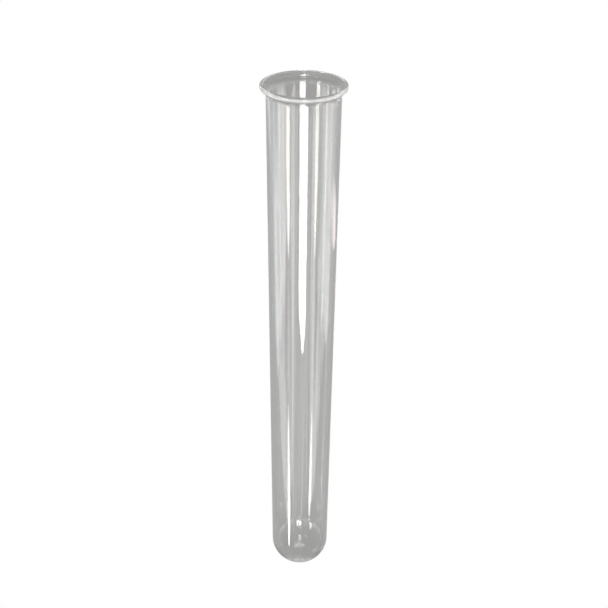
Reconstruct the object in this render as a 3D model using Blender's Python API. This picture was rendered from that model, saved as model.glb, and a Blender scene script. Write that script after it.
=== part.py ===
"""Measuring tube of a manual rain gauge: one clear tube with a flared lip and a round bottom.

Units are metres and +Z is up. The origin is the lowest point of the round bottom, on the axis,
which is also where the column of collected rain is measured from.
"""

import math

import bpy

# The straight tube
TUBE_RADIUS = 0.0140
WALL = 0.0012
OVERALL_LENGTH = 0.2520

# The round bottom: a little flatter than half a ball, with a thicker wall in its middle
BOTTOM_DEPTH = 0.0120
BOWL_DEPTH = 0.0110
BOTTOM_THICKNESS = 0.0018

# The flared lip, which hangs in the gauge's holder ring
LIP_RADIUS = 0.0162
LIP_OPENING_RADIUS = 0.0151
LIP_FACE_HEIGHT = 0.0002
LIP_OUTER_ROUND = 0.00070
LIP_INNER_ROUND = 0.00015
LIP_UNDERSIDE_ROUND = 0.0013

# The flare between the lip and the tube
FLARE_HEIGHT = 0.0030
FLARE_INNER_RADIUS = 0.0046
FLARE_INNER_HEIGHT = 0.0048

# How finely the round shapes are cut
SEGMENTS_AROUND = 72
BOTTOM_STEPS = 10
FLARE_STEPS = 5
ROUND_STEPS = 3
MERGE_DISTANCE = 0.00001

# What the tube is made of
GLASS_COLOUR = (0.90, 0.92, 0.91, 1.0)
GLASS_ROUGHNESS = 0.03
GLASS_IOR = 1.50

BORE_RADIUS = TUBE_RADIUS - WALL


def clear_scene():
    for thing in list(bpy.data.objects):
        bpy.data.objects.remove(thing, do_unlink=True)


def oval_arc(centre, radii, start, end, steps):
    """Points on an oval's arc, as (distance from the axis, height). Angles are in degrees, 0 outwards."""
    points = []
    for step in range(steps + 1):
        angle = math.radians(start + (end - start) * step / steps)
        across = centre[0] + radii[0] * math.cos(angle)
        up = centre[1] + radii[1] * math.sin(angle)
        points.append((across, up))
    return points


def arc(centre, radius, start, end, steps):
    return oval_arc(centre, (radius, radius), start, end, steps)


def inner_profile():
    """The inside, from the middle of the bottom up to the top of the lip."""
    bowl_rim = (0.0, BOTTOM_THICKNESS + BOWL_DEPTH)
    bowl = oval_arc(bowl_rim, (BORE_RADIUS, BOWL_DEPTH), -90.0, 0.0, BOTTOM_STEPS)
    bowl[0] = (0.0, BOTTOM_THICKNESS)

    widening = LIP_OPENING_RADIUS - BORE_RADIUS
    turn = math.degrees(math.acos(1.0 - widening / FLARE_INNER_RADIUS))
    flare_centre = (BORE_RADIUS + FLARE_INNER_RADIUS, OVERALL_LENGTH - FLARE_INNER_HEIGHT)
    flare = arc(flare_centre, FLARE_INNER_RADIUS, 180.0, 180.0 - turn, FLARE_STEPS)

    edge_centre = (LIP_OPENING_RADIUS + LIP_INNER_ROUND, OVERALL_LENGTH - LIP_INNER_ROUND)
    edge = arc(edge_centre, LIP_INNER_ROUND, 180.0, 90.0, ROUND_STEPS)
    return bowl + flare + edge


def outer_profile():
    """The outside, from the top of the lip down to the middle of the bottom."""
    edge_centre = (LIP_RADIUS - LIP_OUTER_ROUND, OVERALL_LENGTH - LIP_OUTER_ROUND)
    edge = arc(edge_centre, LIP_OUTER_ROUND, 90.0, 0.0, ROUND_STEPS)

    # Two arcs that meet on one slope carry the lip's underside into the tube
    overhang = LIP_RADIUS - TUBE_RADIUS
    turn = 2.0 * math.degrees(math.atan(overhang / FLARE_HEIGHT))
    both_radii = FLARE_HEIGHT / math.sin(math.radians(turn))
    fillet_radius = both_radii - LIP_UNDERSIDE_ROUND
    underside_centre = (LIP_RADIUS - LIP_UNDERSIDE_ROUND, edge_centre[1] - LIP_FACE_HEIGHT)
    underside = arc(underside_centre, LIP_UNDERSIDE_ROUND, 0.0, -turn, FLARE_STEPS)
    fillet_centre = (TUBE_RADIUS + fillet_radius, underside_centre[1] - FLARE_HEIGHT)
    fillet = arc(fillet_centre, fillet_radius, 180.0 - turn, 180.0, FLARE_STEPS)

    bottom = oval_arc((0.0, BOTTOM_DEPTH), (TUBE_RADIUS, BOTTOM_DEPTH), 0.0, -90.0, BOTTOM_STEPS)
    bottom[-1] = (0.0, 0.0)
    return edge + underside + fillet[1:] + bottom


def clear_glass():
    material = bpy.data.materials.new("clear_glass")
    material.use_nodes = True
    shader = material.node_tree.nodes["Principled BSDF"]
    shader.inputs["Base Color"].default_value = GLASS_COLOUR
    shader.inputs["Roughness"].default_value = GLASS_ROUGHNESS
    shader.inputs["Metallic"].default_value = 0.0
    shader.inputs["IOR"].default_value = GLASS_IOR
    shader.inputs["Transmission Weight"].default_value = 1.0
    return material


def turned_piece(name, profile, material):
    """Turns a profile about +Z into one closed body."""
    vertices = [(across, 0.0, up) for across, up in profile]
    edges = [(index, index + 1) for index in range(len(vertices) - 1)]
    mesh = bpy.data.meshes.new(name)
    mesh.from_pydata(vertices, edges, [])
    mesh.materials.append(material)
    piece = bpy.data.objects.new(name, mesh)
    bpy.context.collection.objects.link(piece)

    turning = piece.modifiers.new("turning", "SCREW")
    turning.axis = "Z"
    turning.angle = math.radians(360)
    turning.steps = SEGMENTS_AROUND
    turning.render_steps = SEGMENTS_AROUND
    turning.use_merge_vertices = True
    turning.merge_threshold = MERGE_DISTANCE
    turning.use_smooth_shade = True
    return piece


def main():
    clear_scene()
    turned_piece("gauge_tube", inner_profile() + outer_profile(), clear_glass())


main()
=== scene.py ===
"""The looks of a rain gauge's measuring tube: a clear glass tube with a flared lip and a round bottom.

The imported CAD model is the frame. The fine tube stands for its one node, in the same place and at the
same size.
"""

import math
from typing import NamedTuple

import bpy
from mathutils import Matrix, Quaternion, Vector


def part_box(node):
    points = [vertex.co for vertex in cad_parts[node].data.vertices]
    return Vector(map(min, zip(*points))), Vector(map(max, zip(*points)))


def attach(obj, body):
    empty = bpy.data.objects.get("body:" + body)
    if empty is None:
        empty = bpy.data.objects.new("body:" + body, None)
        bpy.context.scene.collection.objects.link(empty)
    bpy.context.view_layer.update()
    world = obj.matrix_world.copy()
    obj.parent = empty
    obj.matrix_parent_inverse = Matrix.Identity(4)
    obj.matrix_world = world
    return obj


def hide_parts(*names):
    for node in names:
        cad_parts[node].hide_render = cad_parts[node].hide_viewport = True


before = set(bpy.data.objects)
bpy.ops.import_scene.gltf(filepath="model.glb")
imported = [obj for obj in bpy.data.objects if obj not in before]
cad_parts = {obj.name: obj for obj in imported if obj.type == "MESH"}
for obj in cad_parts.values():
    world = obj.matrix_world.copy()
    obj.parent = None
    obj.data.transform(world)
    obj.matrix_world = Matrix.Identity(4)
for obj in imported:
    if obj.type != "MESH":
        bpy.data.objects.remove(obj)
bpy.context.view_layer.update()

# The tube's outline, in metres: the CAD model's own dimensions, cut finer
TUBE_RADIUS = 0.0140
WALL = 0.0012
BOTTOM_DEPTH = 0.0120
BOWL_DEPTH = 0.0110
BOTTOM_THICKNESS = 0.0018
LIP_RADIUS = 0.0162
LIP_OPENING_RADIUS = 0.0151
LIP_FACE_HEIGHT = 0.0002
LIP_OUTER_ROUND = 0.00070
LIP_INNER_ROUND = 0.00015
LIP_UNDERSIDE_ROUND = 0.0013
FLARE_HEIGHT = 0.0030
FLARE_INNER_RADIUS = 0.0046
FLARE_INNER_HEIGHT = 0.0048
BORE_RADIUS = TUBE_RADIUS - WALL

lowest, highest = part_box("gauge_tube")
TUBE_TOP = highest.z

SEGMENTS_AROUND = 256
BOTTOM_STEPS = 48
FLARE_STEPS = 16
ROUND_STEPS = 6
STRAIGHT_STEPS = 24

# The glass. A pattern is given as how many patches there are to a metre round the tube, how many along
# it, and how many finer layers there are on top.
GLASS_IOR = 1.5
NOISE_RANGE = (0.35, 0.65)
SMUDGES = (160.0, 60.0, 3.0)
SMUDGE_ROUGHNESS = (0.0, 0.06)
LIP_FROST_RADII = (0.01505, 0.01515)
LIP_PATCHES = (420.0, 100.0, 2.0)
LIP_ROUGHNESS = (0.19, 0.26)
TINT_PATCHES = (90.0, 25.0, 1.0)
CLEAREST = (0.985, 0.983, 0.978)
GREYEST = (0.962, 0.964, 0.958)
DRAWN_LINES = (900.0, 12.0, 2.0)
DRAWN_LINE_DEPTH = 0.0000004

# The camera: close to the tube and looking down on it. The lens and its sensor are in millimetres.
LENS_FOCAL = 49.0559
SENSOR_WIDTH = 36.0
CAMERA_DISTANCE = 0.2946
CAMERA_ABOVE_LIP = 0.09777
CAMERA_PITCH = math.radians(33.274)
CAMERA_ROLL = math.radians(0.652)
CAMERA_YAW = math.radians(0.176)

# The studio. Directions are azimuths from the camera's side towards the right, and depressions below the
# horizon, all in degrees. Levels are brightnesses, with white paper at 1.
# The walls and the backdrop go from their first level to their second over WALL_SPAN's depressions.
WALL_SPAN = (17.0, 50.0)
FRONT_WALL = (0.615, 0.36)
BACK_WALL = (0.44, 0.42)
BACK_WALL_STARTS = (115.0, 145.0)
BACKDROP = (0.33, 0.46)
BACKDROP_DIMS = (46.0, 51.0)
BACKDROP_DIMMING = (0.0, -0.10)
CEILING_STARTS = (-30.0, 17.0)
CEILING = 0.30
WALL_COLOUR = (1.0, 0.997, 0.985)
PANELS_START = 17.0
TIP_ROUNDNESS = 0.7
FLOOR_HALF = 3.0
FLOOR_LEVEL = 1.0

# How far light is followed through the glass. Past PIPED_BOUNCES it comes out at one even level.
MOST_BOUNCES = 400
PIPED_BOUNCES = 40.5
PIPED_LEVEL = 0.97

# The softbox in front of the tube, in metres: its top slopes, and its bottom runs out to a point
KEY_DISTANCE = 0.750
KEY_LEFT = -0.079
KEY_RIGHT = 0.187
KEY_TOP = 0.190
KEY_TOP_ON_RIGHT = 0.08
KEY_TIP = 0.008
KEY_TIP_STARTS = -0.345
KEY_BOTTOM = -0.411
KEY_TIP_STEPS = 24
KEY_LEVEL = 12.0

WHITE = (1.0, 1.0, 1.0)
CREAM = (1.0, 0.975, 0.90)
COOL = (0.90, 1.0, 1.06)
TAN = (1.0, 0.96, 0.80)
PINK = (1.04, 0.90, 0.98)


class Panel(NamedTuple):
    """A light panel on the studio's wall. One with a level below 0 shades the wall instead.

    Its middle is at azimuth, and drifts by that many degrees for each degree down. Its width goes from
    half_width to half_width_below on the way down, its sides are soft over edge, and its ends run out to tips.
    """

    azimuth: float
    half_width: float
    half_width_below: float
    bottom: float
    lower_tip: float
    edge: float
    level: float
    drift: float = 0.0
    top: float = 16.6
    upper_tip: float = 1.0
    colour: tuple = WHITE


# The tall strips down the tube
STRIPS = [
    Panel(-49.4, 5.9, 4.8, 30.1, 4.5, 1.6, 10.0, drift=0.10, top=3.0, colour=CREAM),
    Panel(-49.3, 4.0, 5.7, 50.0, 2.8, 1.6, 10.0, drift=0.40, top=40.2, upper_tip=7.0),
    Panel(30.3, 10.8, 8.1, 46.9, 2.2, 3.6, 2.01, drift=0.49),
    Panel(78.1, 8.1, 7.1, 35.6, 4.3, 3.6, 2.14, drift=-0.22),
    Panel(92.4, 6.5, 10.5, 36.1, 1.8, 3.6, 1.66, drift=0.26),
    Panel(-130.3, 27.7, 13.4, 26.3, 7.5, 3.5, 0.34, drift=1.50, colour=COOL),
    Panel(-103.5, 8.8, 9.8, 38.5, 3.9, 3.6, 1.89, drift=0.41, top=19.0, upper_tip=4.4, colour=COOL),
    Panel(-75.1, 16.0, 27.3, 33.4, 9.3, 3.6, 1.46, drift=0.39),
    Panel(-76.2, 0.5, 16.0, 37.8, 0.3, 3.0, 1.19, drift=0.09, top=30.2, upper_tip=0.6),
    Panel(-78.0, 14.3, 18.4, 48.0, 5.1, 2.4, 1.30, drift=2.28, top=37.5, upper_tip=0.5),
    Panel(62.2, 7.4, 8.8, 41.9, 1.7, 2.8, 0.37, drift=1.14, top=34.6, upper_tip=1.7),
    Panel(116.6, 18.0, 11.6, 29.5, 0.7, 3.6, 0.97, drift=3.00, top=24.5, upper_tip=1.8, colour=PINK),
    Panel(-43.4, 4.2, 0.9, 40.1, 1.1, 3.1, 2.81, drift=-0.28, top=25.6, upper_tip=2.2),
    Panel(-30.2, 13.7, 6.0, 48.8, 11.6, 3.6, 1.35, drift=0.09, top=19.9),
]

# The dark gaps beside them
SHADES = [
    Panel(26.1, 3.1, 2.6, 44.0, 4.8, 1.0, -2.05, drift=0.04),
    Panel(-50.8, 4.8, 5.7, 43.1, 6.3, 2.5, -1.44, drift=0.61),
    Panel(56.6, 3.2, 5.5, 30.2, 3.5, 1.1, -1.01, drift=0.07),
    Panel(-98.4, 5.9, 5.8, 29.4, 0.7, 2.6, -0.68, drift=-0.49),
]

# The soft light between them
FILLS = [
    Panel(8.1, 10.2, 3.4, 49.0, 3.4, 3.6, 0.93, drift=-0.10, top=34.2, upper_tip=0.6),
    Panel(-17.5, 1.0, 4.4, 48.3, 2.3, 2.7, 0.59, top=20.1, upper_tip=2.9),
    Panel(-63.9, 9.1, 6.1, 47.2, 2.8, 3.1, 0.23, drift=-0.22, top=19.0, upper_tip=2.4),
    Panel(62.5, 5.5, 3.2, 44.8, 1.4, 2.8, 0.94, drift=-0.20, top=17.3, upper_tip=1.9),
    Panel(110.2, 9.2, 0.5, 46.9, 2.1, 2.6, 0.50, drift=-0.31, top=19.0, upper_tip=1.9),
]


def mouth_streak(azimuth, half_width, level, colour=WHITE):
    """A short panel that shows only in the tube's mouth."""
    return Panel(
        azimuth,
        half_width,
        half_width,
        bottom=19.6,
        lower_tip=0.3,
        edge=1.5,
        level=level,
        top=14.0,
        upper_tip=4.0,
        colour=colour,
    )


def horizon_strip(azimuth, half_width, bottom, level):
    """A thin panel across the horizon, for the views that are nearly level with the tube."""
    return Panel(
        azimuth,
        half_width,
        half_width,
        bottom,
        lower_tip=6.0,
        edge=3.0,
        level=level,
        top=-14.0,
        upper_tip=8.0,
    )


MOUTH_STREAKS = [
    mouth_streak(91.5, 1.6, 1.5),
    mouth_streak(72.0, 10.0, 0.8),
    mouth_streak(33.0, 5.0, 0.8),
    mouth_streak(-67.0, 8.0, 0.9, TAN),
    mouth_streak(-89.5, 5.8, 1.6),
    mouth_streak(-117.5, 6.4, 2.3),
]

HORIZON_STRIPS = [
    Panel(-49.4, 3.5, 3.0, 5.0, 6.0, 1.5, 5.0, top=-14.0, upper_tip=8.0, colour=CREAM),
    horizon_strip(-22.0, 2.5, 13.0, 2.0),
    horizon_strip(112.0, 3.0, 14.0, 2.5),
    horizon_strip(130.0, 3.0, 14.0, 2.5),
    horizon_strip(-145.0, 3.0, 10.0, 2.5),
]

# The small lamps overhead, which give the glints on the flare and in the bottom
LAMPS = [
    Panel(0.0, 12.0, 12.0, -61.0, 2.0, 3.0, 8.0, top=-72.0, upper_tip=1.0),
    Panel(0.0, 26.0, 26.0, -71.0, 1.0, 3.0, 8.0, top=-86.0, upper_tip=1.0),
    Panel(0.0, 10.0, 10.0, -20.0, 2.0, 3.0, 4.0, top=-25.0, upper_tip=2.0),
    Panel(-50.0, 6.0, 6.0, -52.0, 2.0, 2.0, 8.0, top=-58.0, upper_tip=2.0, colour=CREAM),
]

PANELS = STRIPS + SHADES + FILLS + MOUTH_STREAKS + HORIZON_STRIPS + LAMPS


def oval_arc(centre, radii, start, end, steps):
    """Points on an oval's arc, as (distance from the axis, height). Angles are in degrees, 0 outwards."""
    points = []
    for step in range(steps + 1):
        angle = math.radians(start + (end - start) * step / steps)
        across = centre[0] + radii[0] * math.cos(angle)
        up = centre[1] + radii[1] * math.sin(angle)
        points.append((across, up))
    return points


def arc(centre, radius, start, end, steps):
    """Points on a circle's arc, as oval_arc gives them."""
    return oval_arc(centre, (radius, radius), start, end, steps)


def between(start, end, steps):
    """Points evenly spaced between two others, without the two themselves."""
    points = []
    for step in range(1, steps):
        share = step / steps
        across = start[0] + (end[0] - start[0]) * share
        up = start[1] + (end[1] - start[1]) * share
        points.append((across, up))
    return points


def inner_profile():
    """The inside, from the middle of the bottom up to the top of the lip."""
    bowl_rim = (0.0, BOTTOM_THICKNESS + BOWL_DEPTH)
    bowl = oval_arc(bowl_rim, (BORE_RADIUS, BOWL_DEPTH), -90.0, 0.0, BOTTOM_STEPS)
    bowl[0] = (0.0, BOTTOM_THICKNESS)

    widening = LIP_OPENING_RADIUS - BORE_RADIUS
    turn = math.degrees(math.acos(1.0 - widening / FLARE_INNER_RADIUS))
    flare_centre = (BORE_RADIUS + FLARE_INNER_RADIUS, TUBE_TOP - FLARE_INNER_HEIGHT)
    flare = arc(flare_centre, FLARE_INNER_RADIUS, 180.0, 180.0 - turn, FLARE_STEPS)

    edge_centre = (LIP_OPENING_RADIUS + LIP_INNER_ROUND, TUBE_TOP - LIP_INNER_ROUND)
    edge = arc(edge_centre, LIP_INNER_ROUND, 180.0, 90.0, ROUND_STEPS)
    return bowl + between(bowl[-1], flare[0], STRAIGHT_STEPS) + flare + edge


def outer_profile():
    """The outside, from the top of the lip down to the middle of the bottom."""
    edge_centre = (LIP_RADIUS - LIP_OUTER_ROUND, TUBE_TOP - LIP_OUTER_ROUND)
    edge = arc(edge_centre, LIP_OUTER_ROUND, 90.0, 0.0, ROUND_STEPS)

    # Two arcs that meet on one slope carry the lip's underside into the tube
    overhang = LIP_RADIUS - TUBE_RADIUS
    turn = 2.0 * math.degrees(math.atan(overhang / FLARE_HEIGHT))
    both_radii = FLARE_HEIGHT / math.sin(math.radians(turn))
    fillet_radius = both_radii - LIP_UNDERSIDE_ROUND
    underside_centre = (LIP_RADIUS - LIP_UNDERSIDE_ROUND, edge_centre[1] - LIP_FACE_HEIGHT)
    underside = arc(underside_centre, LIP_UNDERSIDE_ROUND, 0.0, -turn, FLARE_STEPS)
    fillet_centre = (TUBE_RADIUS + fillet_radius, underside_centre[1] - FLARE_HEIGHT)
    fillet = arc(fillet_centre, fillet_radius, 180.0 - turn, 180.0, FLARE_STEPS)

    bottom = oval_arc((0.0, BOTTOM_DEPTH), (TUBE_RADIUS, BOTTOM_DEPTH), 0.0, -90.0, BOTTOM_STEPS)
    bottom[-1] = (0.0, 0.0)
    straight = between(fillet[-1], bottom[0], STRAIGHT_STEPS)
    return edge + underside + fillet[1:] + straight + bottom


def turned_mesh(name, profile):
    """Turns a profile that starts and ends on the axis into one closed mesh."""
    vertices = []
    rings = []
    for across, up in profile:
        if across == 0.0:
            rings.append([len(vertices)])
            vertices.append((0.0, 0.0, up))
            continue
        ring = []
        for segment in range(SEGMENTS_AROUND):
            angle = 2.0 * math.pi * segment / SEGMENTS_AROUND
            ring.append(len(vertices))
            vertices.append((across * math.cos(angle), across * math.sin(angle), up))
        rings.append(ring)
    faces = []
    for upper, lower in zip(rings, rings[1:]):
        for segment in range(SEGMENTS_AROUND):
            after = (segment + 1) % SEGMENTS_AROUND
            if len(upper) == 1:
                faces.append((upper[0], lower[segment], lower[after]))
            elif len(lower) == 1:
                faces.append((upper[segment], lower[0], upper[after]))
            else:
                faces.append((upper[segment], lower[segment], lower[after], upper[after]))
    mesh = bpy.data.meshes.new(name)
    mesh.from_pydata(vertices, [], faces)
    mesh.shade_smooth()
    return mesh


def along_the_tube(tree, across, along):
    """Coordinates for patterns on the glass, with a scale of their own round the tube and along it."""
    coordinates = tree.nodes.new("ShaderNodeTexCoord")
    stretch = tree.nodes.new("ShaderNodeMapping")
    stretch.inputs["Scale"].default_value = (across, across, along)
    tree.links.new(coordinates.outputs["Object"], stretch.inputs["Vector"])
    return stretch.outputs["Vector"]


def noise(tree, pattern, low, high):
    """Uneven patches that run from low to high."""
    across, along, layers = pattern
    patches = tree.nodes.new("ShaderNodeTexNoise")
    tree.links.new(along_the_tube(tree, across, along), patches.inputs["Vector"])
    patches.inputs["Scale"].default_value = 1.0
    patches.inputs["Detail"].default_value = layers
    return ramp(tree, patches.outputs["Fac"], *NOISE_RANGE, low, high, eased=True)


def distance_from_axis(tree):
    """How far a point of the tube is from its axis, in metres."""
    place = tree.nodes.new("ShaderNodeTexCoord")
    flat = tree.nodes.new("ShaderNodeVectorMath")
    flat.operation = "MULTIPLY"
    flat.inputs[1].default_value = (1.0, 1.0, 0.0)
    tree.links.new(place.outputs["Object"], flat.inputs[0])
    length = tree.nodes.new("ShaderNodeVectorMath")
    length.operation = "LENGTH"
    tree.links.new(flat.outputs[0], length.inputs[0])
    return length.outputs["Value"]


def clear_glass():
    """Clear drawn glass: faint lines and smudges along the tube, a trace of grey-green, and a dull lip."""
    material = bpy.data.materials.new("clear_glass")
    material.use_nodes = True
    tree = material.node_tree
    shader = tree.nodes["Principled BSDF"]
    shader.inputs["IOR"].default_value = GLASS_IOR
    shader.inputs["Transmission Weight"].default_value = 1.0

    smudges = noise(tree, SMUDGES, *SMUDGE_ROUGHNESS)
    on_lip = ramp(tree, distance_from_axis(tree), *LIP_FROST_RADII, 0.0, 1.0)
    lip = maths(tree, "MULTIPLY", on_lip, noise(tree, LIP_PATCHES, *LIP_ROUGHNESS))
    tree.links.new(maths(tree, "MAXIMUM", smudges, lip), shader.inputs["Roughness"])

    tint = tree.nodes.new("ShaderNodeMix")
    tint.data_type = "RGBA"
    tree.links.new(noise(tree, TINT_PATCHES, 0.0, 1.0), tint.inputs["Factor"])
    tint.inputs["A"].default_value = (*CLEAREST, 1.0)
    tint.inputs["B"].default_value = (*GREYEST, 1.0)
    tree.links.new(tint.outputs["Result"], shader.inputs["Base Color"])

    lines = tree.nodes.new("ShaderNodeBump")
    lines.inputs["Strength"].default_value = 1.0
    lines.inputs["Distance"].default_value = DRAWN_LINE_DEPTH
    tree.links.new(noise(tree, DRAWN_LINES, 0.0, 1.0), lines.inputs["Height"])
    tree.links.new(lines.outputs["Normal"], shader.inputs["Normal"])
    return material


def make_tube():
    """The tube, which stands for the CAD model's one node."""
    profile = inner_profile() + outer_profile()
    mesh = turned_mesh("gauge_glass", profile)
    mesh.materials.append(clear_glass())
    tube = bpy.data.objects.new("gauge_glass", mesh)
    bpy.context.scene.collection.objects.link(tube)
    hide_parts("gauge_tube")
    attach(tube, "root")


def maths(tree, operation, *values):
    """A math node. Each value is a number or another node's output."""
    node = tree.nodes.new("ShaderNodeMath")
    node.operation = operation
    for socket, value in zip(node.inputs, values):
        if isinstance(value, (int, float)):
            socket.default_value = value
        else:
            tree.links.new(value, socket)
    return node.outputs[0]


def ramp(tree, value, start, end, low, high, eased=False):
    """Goes from low to high as a value goes from start to end, and no further."""
    node = tree.nodes.new("ShaderNodeMapRange")
    if eased:
        node.interpolation_type = "SMOOTHSTEP"
    tree.links.new(value, node.inputs["Value"])
    node.inputs["From Min"].default_value = start
    node.inputs["From Max"].default_value = end
    node.inputs["To Min"].default_value = low
    node.inputs["To Max"].default_value = high
    return node.outputs["Result"]


def light_panel(tree, azimuth, depression, panel):
    """How much of one panel is seen in a direction, from 0 to its level."""
    first = max(panel.top, PANELS_START)
    half = ramp(tree, depression, first, panel.bottom, panel.half_width, panel.half_width_below)
    lower_tip = ramp(tree, depression, panel.bottom - panel.lower_tip, panel.bottom, 1.0, 0.0)
    upper_tip = ramp(tree, depression, panel.top, panel.top + panel.upper_tip, 0.0, 1.0)
    taper = maths(tree, "POWER", maths(tree, "MINIMUM", lower_tip, upper_tip), TIP_ROUNDNESS)
    half = maths(tree, "MULTIPLY", half, taper)
    middle_at_horizon = panel.azimuth - panel.drift * first
    drifted = maths(tree, "MULTIPLY_ADD", depression, panel.drift, middle_at_horizon)
    turned = maths(tree, "WRAP", maths(tree, "SUBTRACT", azimuth, drifted), 180.0, -180.0)
    off = maths(tree, "ABSOLUTE", turned)
    inside = maths(tree, "SUBTRACT", half, off)
    share = ramp(tree, inside, -0.5 * panel.edge, 0.5 * panel.edge, 0.0, panel.level, eased=True)
    return maths(tree, "MULTIPLY", share, maths(tree, "GREATER_THAN", taper, 0.0))


def studio_light(tree):
    """The studio round the tube: soft grey walls with light panels. Gives depression and colour."""
    coordinates = tree.nodes.new("ShaderNodeTexCoord")
    split = tree.nodes.new("ShaderNodeSeparateXYZ")
    tree.links.new(coordinates.outputs["Generated"], split.inputs[0])
    to_front = maths(tree, "MULTIPLY", split.outputs["Y"], -1.0)
    azimuth = maths(tree, "DEGREES", maths(tree, "ARCTAN2", split.outputs["X"], to_front))
    down = maths(tree, "MULTIPLY", split.outputs["Z"], -1.0)
    depression = maths(tree, "DEGREES", maths(tree, "ARCSINE", down))

    behind = ramp(tree, maths(tree, "ABSOLUTE", azimuth), *BACK_WALL_STARTS, 0.0, 1.0, eased=True)
    front = ramp(tree, depression, *WALL_SPAN, *FRONT_WALL)
    overhead = ramp(tree, depression, *CEILING_STARTS, CEILING, FRONT_WALL[0])
    front = maths(tree, "MINIMUM", front, overhead)
    back = ramp(tree, depression, *WALL_SPAN, *BACK_WALL)
    wall = maths(tree, "MULTIPLY_ADD", behind, maths(tree, "SUBTRACT", back, front), front)
    lights = {}
    for panel in PANELS:
        share = light_panel(tree, azimuth, depression, panel)
        if panel.colour in lights:
            share = maths(tree, "ADD", lights[panel.colour], share)
        lights[panel.colour] = share
    total = None
    lights[WALL_COLOUR] = wall
    for colour, share in lights.items():
        tint = tree.nodes.new("ShaderNodeVectorMath")
        tint.operation = "SCALE"
        tint.inputs[0].default_value = colour
        tree.links.new(share, tint.inputs["Scale"])
        if total is None:
            total = tint.outputs[0]
            continue
        adding = tree.nodes.new("ShaderNodeVectorMath")
        tree.links.new(total, adding.inputs[0])
        tree.links.new(tint.outputs[0], adding.inputs[1])
        total = adding.outputs[0]
    floored = tree.nodes.new("ShaderNodeVectorMath")
    floored.operation = "MAXIMUM"
    tree.links.new(total, floored.inputs[0])
    return depression, floored.outputs[0]


def mirrored(tree):
    """1 for a ray that a surface has mirrored on its way, 0 for one that has only gone through glass."""
    path = tree.nodes.new("ShaderNodeLightPath")
    return maths(tree, "GREATER_THAN", path.outputs["Glossy Depth"], 0.5)


def make_world():
    """White to look at, soft grey through clear glass, and the lit studio in its reflections."""
    world = bpy.data.worlds.new("studio")
    world.use_nodes = True
    tree = world.node_tree
    tree.nodes.clear()
    path = tree.nodes.new("ShaderNodeLightPath")
    depression, studio_colour = studio_light(tree)
    studio = tree.nodes.new("ShaderNodeBackground")
    tree.links.new(studio_colour, studio.inputs["Color"])
    seen_through = tree.nodes.new("ShaderNodeBackground")
    backdrop = ramp(tree, depression, *WALL_SPAN, *BACKDROP)
    dimming = ramp(tree, depression, *BACKDROP_DIMS, *BACKDROP_DIMMING)
    tree.links.new(maths(tree, "ADD", backdrop, dimming), seen_through.inputs["Strength"])
    seen_through.inputs["Color"].default_value = (*WALL_COLOUR, 1.0)
    white = tree.nodes.new("ShaderNodeBackground")
    white.inputs["Color"].default_value = (*WHITE, 1.0)

    glass = tree.nodes.new("ShaderNodeMixShader")
    tree.links.new(mirrored(tree), glass.inputs[0])
    tree.links.new(seen_through.outputs[0], glass.inputs[1])
    tree.links.new(studio.outputs[0], glass.inputs[2])
    inside_glass = tree.nodes.new("ShaderNodeBackground")
    inside_glass.inputs["Color"].default_value = (*WALL_COLOUR, 1.0)
    inside_glass.inputs["Strength"].default_value = PIPED_LEVEL
    piped = tree.nodes.new("ShaderNodeMixShader")
    tree.links.new(maths(tree, "GREATER_THAN", path.outputs["Ray Depth"], PIPED_BOUNCES), piped.inputs[0])
    tree.links.new(glass.outputs[0], piped.inputs[1])
    tree.links.new(inside_glass.outputs[0], piped.inputs[2])
    everything = tree.nodes.new("ShaderNodeMixShader")
    tree.links.new(path.outputs["Is Camera Ray"], everything.inputs[0])
    tree.links.new(piped.outputs[0], everything.inputs[1])
    tree.links.new(white.outputs[0], everything.inputs[2])
    output = tree.nodes.new("ShaderNodeOutputWorld")
    tree.links.new(everything.outputs[0], output.inputs[0])
    bpy.context.scene.world = world


def glowing(name, level, only_mirrored=False):
    """An even white glow. It can be left clear to everything but reflections."""
    material = bpy.data.materials.new(name)
    material.use_nodes = True
    tree = material.node_tree
    tree.nodes.clear()
    output = tree.nodes.new("ShaderNodeOutputMaterial")
    glow = tree.nodes.new("ShaderNodeEmission")
    glow.inputs["Color"].default_value = (*WHITE, 1.0)
    glow.inputs["Strength"].default_value = level
    if not only_mirrored:
        tree.links.new(glow.outputs[0], output.inputs[0])
        return material
    clear = tree.nodes.new("ShaderNodeBsdfTransparent")
    either = tree.nodes.new("ShaderNodeMixShader")
    tree.links.new(mirrored(tree), either.inputs[0])
    tree.links.new(clear.outputs[0], either.inputs[1])
    tree.links.new(glow.outputs[0], either.inputs[2])
    tree.links.new(either.outputs[0], output.inputs[0])
    return material


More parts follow.
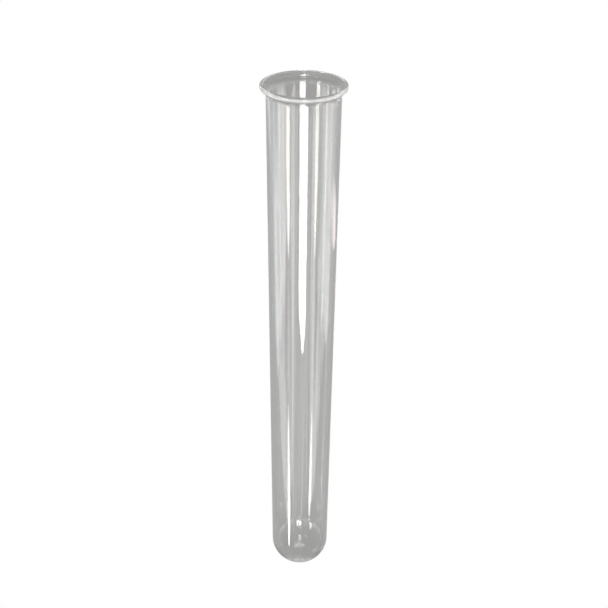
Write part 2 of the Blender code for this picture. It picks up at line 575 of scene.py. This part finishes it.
def make_key_light():
    """The tall softbox in front of the tube, which only the glass mirrors."""
    corners = [(KEY_LEFT, KEY_TOP), (KEY_LEFT, KEY_TIP_STARTS)]
    for step in range(KEY_TIP_STEPS + 1):
        angle = 0.5 * math.pi * step / KEY_TIP_STEPS
        across = KEY_TIP + (KEY_RIGHT - KEY_TIP) * math.sin(angle)
        up = KEY_TIP_STARTS - (KEY_TIP_STARTS - KEY_BOTTOM) * math.cos(angle)
        corners.append((across, up))
    corners.append((KEY_RIGHT, KEY_TOP_ON_RIGHT))
    mesh = bpy.data.meshes.new("key_light")
    vertices = [(across, -KEY_DISTANCE, up) for across, up in corners]
    mesh.from_pydata(vertices, [], [range(len(vertices))])
    mesh.materials.append(glowing("key_light", KEY_LEVEL, only_mirrored=True))
    light = bpy.data.objects.new("key_light", mesh)
    bpy.context.scene.collection.objects.link(light)
    light.visible_camera = False
    light.visible_diffuse = False
    light.visible_shadow = False


def make_floor():
    """A plain white floor, which the glass doesn't mirror, so that the panels below it are seen."""
    mesh = bpy.data.meshes.new("floor")
    corners = [(-FLOOR_HALF, -FLOOR_HALF, 0.0), (FLOOR_HALF, -FLOOR_HALF, 0.0)]
    corners += [(FLOOR_HALF, FLOOR_HALF, 0.0), (-FLOOR_HALF, FLOOR_HALF, 0.0)]
    mesh.from_pydata(corners, [], [(0, 1, 2, 3)])
    mesh.materials.append(glowing("floor_white", FLOOR_LEVEL))
    floor = bpy.data.objects.new("floor", mesh)
    bpy.context.scene.collection.objects.link(floor)
    floor.visible_glossy = False
    floor.visible_transmission = False
    floor.visible_shadow = False


def make_camera():
    """The camera at the photograph's viewing angle."""
    camera_data = bpy.data.cameras.new("camera")
    camera_data.lens = LENS_FOCAL
    camera_data.sensor_width = SENSOR_WIDTH
    camera = bpy.data.objects.new("camera", camera_data)
    bpy.context.scene.collection.objects.link(camera)
    camera.location = (0.0, -CAMERA_DISTANCE, TUBE_TOP + CAMERA_ABOVE_LIP)
    ahead = Vector((
        math.sin(CAMERA_YAW) * math.cos(CAMERA_PITCH),
        math.cos(CAMERA_YAW) * math.cos(CAMERA_PITCH),
        -math.sin(CAMERA_PITCH),
    ))
    level = ahead.to_track_quat("-Z", "Y")
    camera.rotation_mode = "QUATERNION"
    camera.rotation_quaternion = level @ Quaternion((0.0, 0.0, 1.0), CAMERA_ROLL)
    bpy.context.scene.camera = camera


make_tube()
make_world()
make_floor()
make_key_light()
make_camera()
scene = bpy.context.scene
scene.view_settings.view_transform = "Standard"
scene.cycles.max_bounces = MOST_BOUNCES
scene.cycles.glossy_bounces = MOST_BOUNCES
scene.cycles.transmission_bounces = MOST_BOUNCES
scene.cycles.sample_clamp_indirect = 0.0
